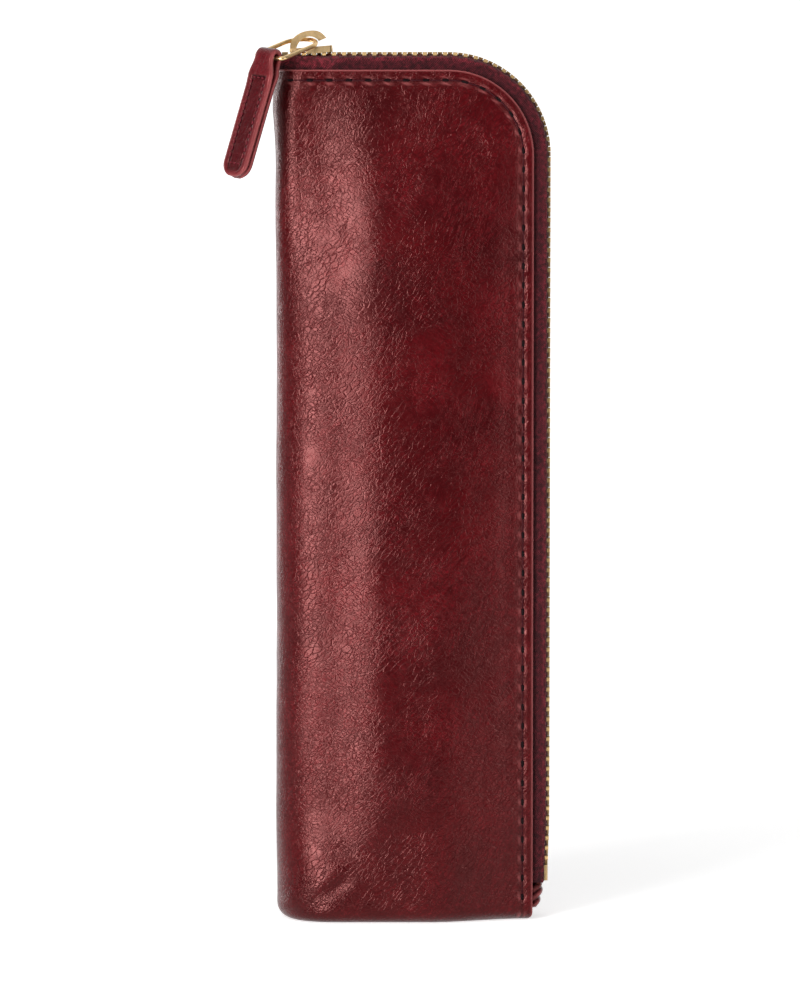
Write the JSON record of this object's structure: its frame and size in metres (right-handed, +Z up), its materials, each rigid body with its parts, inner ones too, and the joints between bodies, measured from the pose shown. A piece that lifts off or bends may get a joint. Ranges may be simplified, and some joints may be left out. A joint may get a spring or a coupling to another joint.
{
  "type": "pen case",
  "caption": "Upright soft leather pen case, zipped along its top and down one side, with a ring and a short leather pull tab on the slider.",
  "frame": {"origin": "middle of the flat base, at the level the case stands on", "axes": "+Z up, the front faces -Y, +X towards the zipped side"},
  "size_m": [0.0752, 0.0296, 0.2044],
  "materials": {
    "leather": "glossy waxed, mottled",
    "lining": "matt",
    "tape": "woven, matt",
    "teeth": "polished",
    "stops": "polished",
    "tape_end": "woven, matt",
    "slider": "polished",
    "ring": "polished",
    "strap": "glossy waxed",
    "tab_thread": "waxed",
    "thread": "waxed"
  },
  "bodies": {
    "case": {"leather_shell": "leather", "lining": "lining", "zip_tape_front": "tape", "zip_tape_back": "tape", "zip_teeth_front": "teeth", "zip_teeth_back": "teeth", "top_stop_front": "stops", "top_stop_back": "stops", "bottom_stop": "stops", "tape_end_fold": "tape_end", "front_stitching": "thread", "back_stitching": "thread", "base_seam_stitching": "thread"},
    "slider": {"slider_body": "slider", "slider_hook": "slider"},
    "ring": {"pull_ring": "ring"},
    "tab": {"pull_tab_strap": "strap", "pull_tab_stitching": "tab_thread"}
  },
  "joints": [
    {"name": "slider_slide", "type": "slide", "parent": "case", "child": "slider", "axis": [1, 0, 0], "range_m": [0, 0.026], "deforming": ["zip_tape_front", "zip_tape_back", "zip_teeth_front", "zip_teeth_back"]},
    {"name": "ring_swing", "type": "hinge", "parent": "slider", "child": "ring", "pos_m": [-0.0217, 0.0006, 0.20225], "axis": [-0.4187, 0.9066, 0.0534], "range_deg": [0, 110]},
    {"name": "tab_swing", "type": "hinge", "parent": "ring", "child": "tab", "pos_m": [-0.03083, -0.00958, 0.19842], "axis": [-0.7591, 0.6438, 0.0968], "range_deg": [0, 150]}
  ]
}
